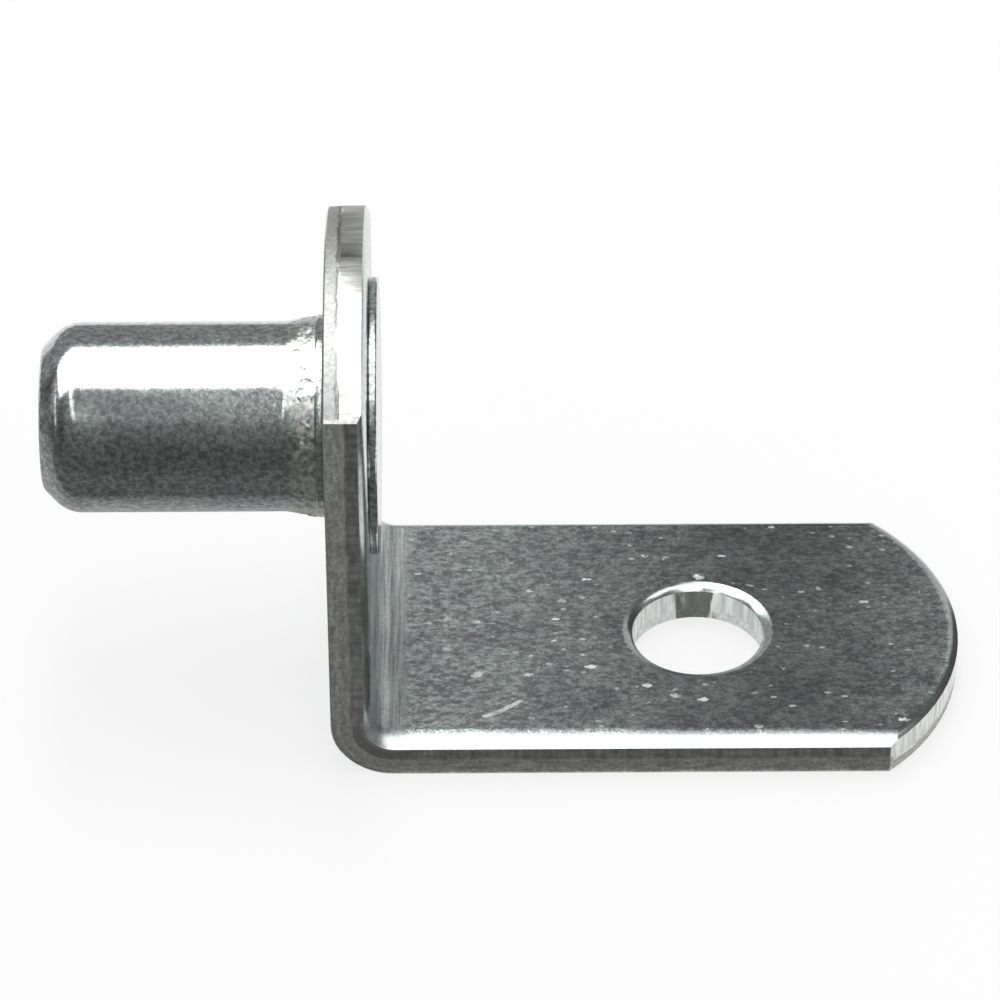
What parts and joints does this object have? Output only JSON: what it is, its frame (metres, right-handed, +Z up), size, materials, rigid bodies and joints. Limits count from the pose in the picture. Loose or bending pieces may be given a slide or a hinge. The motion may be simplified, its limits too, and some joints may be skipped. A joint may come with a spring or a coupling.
{
  "type": "shelf support",
  "caption": "L-shaped plated steel shelf support: a pin riveted through its upright plugs into a cabinet's side panel, and the shelf rests on its leg, which has a screw hole.",
  "frame": {"origin": "where the pin's axis meets the outer face of the upright, the face that bears on the cabinet's side panel", "axes": "+X along the leg under the shelf, the pin along -X into the panel, +Y across the strip's width, +Z up"},
  "size_m": [0.0309, 0.012, 0.0172],
  "materials": {
    "bracket_steel": "bright zinc plate on a punched and folded steel strip: cool grey, softly glossy, finely mottled, with darker duller cut edges",
    "pin_steel": "bright zinc plate on a turned and headed steel pin: cool grey and glossy, with a rough swaged collar"
  },
  "bodies": {
    "root": {"bracket": "bracket_steel", "headed_pin": "pin_steel"}
  },
  "joints": []
}
